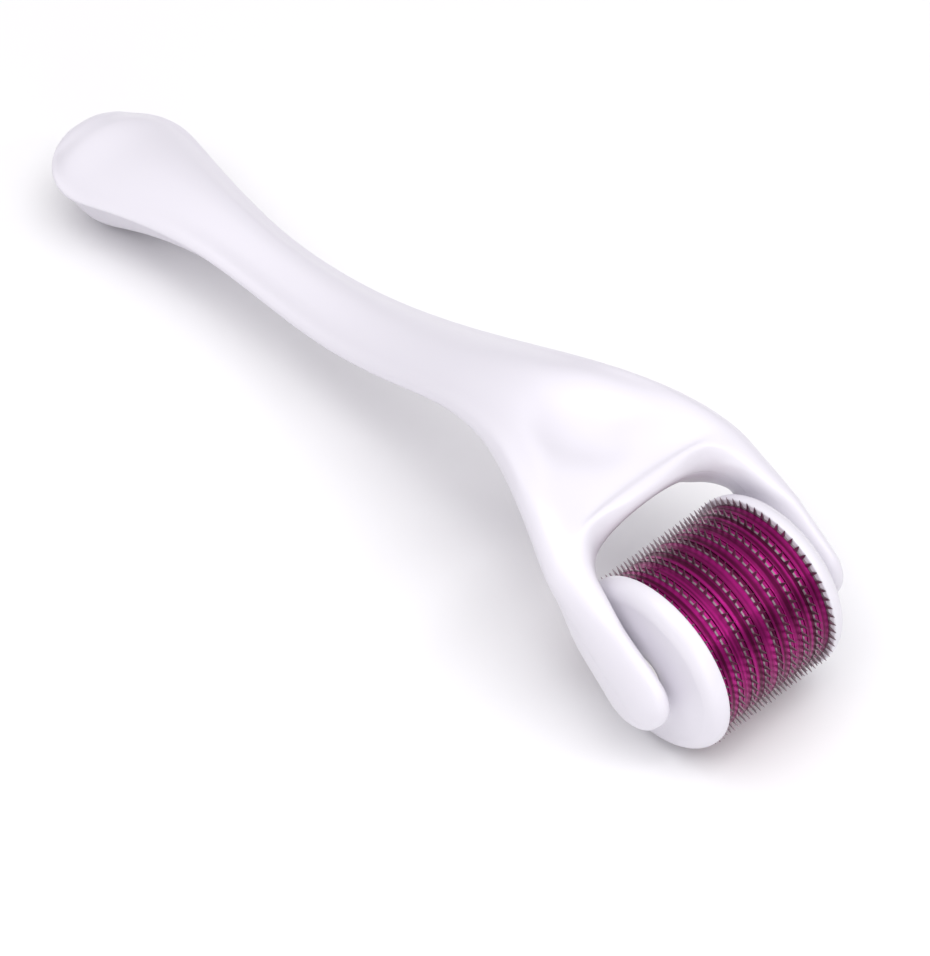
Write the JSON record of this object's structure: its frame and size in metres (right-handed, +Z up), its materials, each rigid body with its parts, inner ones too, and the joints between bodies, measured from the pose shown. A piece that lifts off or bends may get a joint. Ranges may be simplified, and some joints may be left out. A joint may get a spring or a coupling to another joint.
{
  "type": "derma roller",
  "caption": "Hand-held skin roller: a smooth curved handle with a forked head that carries a freely turning drum of fine needle rings between domed end caps.",
  "frame": {"origin": "on the surface that the roller rests on, below the middle of the part's outline", "axes": "+Z up, +Y along the handle from the roller to the bulb, +X along the roller's axle"},
  "size_m": [0.0336, 0.1317, 0.0287],
  "materials": {
    "white_plastic": "smooth glossy white moulding with a faint cool tint",
    "magenta_plastic": "clear-toned glossy magenta",
    "needle_steel": "bright etched stainless steel",
    "axle_steel": "ground steel pin",
    "nylon": "plain nylon"
  },
  "bodies": {
    "handle": {"handle_upper_shell": "white_plastic", "handle_lower_shell": "white_plastic", "axle": "axle_steel", "left_washer": "nylon", "right_washer": "nylon"},
    "roller": {"roller_core": "nylon", "left_end_cap": "white_plastic", "right_end_cap": "white_plastic", "needle_ring_1": "needle_steel", "needle_ring_2": "needle_steel", "needle_ring_3": "needle_steel", "needle_ring_4": "needle_steel", "needle_ring_5": "needle_steel", "needle_ring_6": "needle_steel", "needle_ring_7": "needle_steel", "needle_ring_8": "needle_steel", "needle_ring_9": "needle_steel", "barrel_disc_1": "magenta_plastic", "barrel_disc_2": "magenta_plastic", "barrel_disc_3": "magenta_plastic", "barrel_disc_4": "magenta_plastic", "barrel_disc_5": "magenta_plastic", "barrel_disc_6": "magenta_plastic", "barrel_disc_7": "magenta_plastic", "barrel_disc_8": "magenta_plastic"}
  },
  "joints": [
    {"name": "roller_spin", "type": "hinge", "parent": "handle", "child": "roller", "pos_m": [0, -0.05407, 0.01185], "axis": [1, 0, 0], "continuous": true}
  ]
}
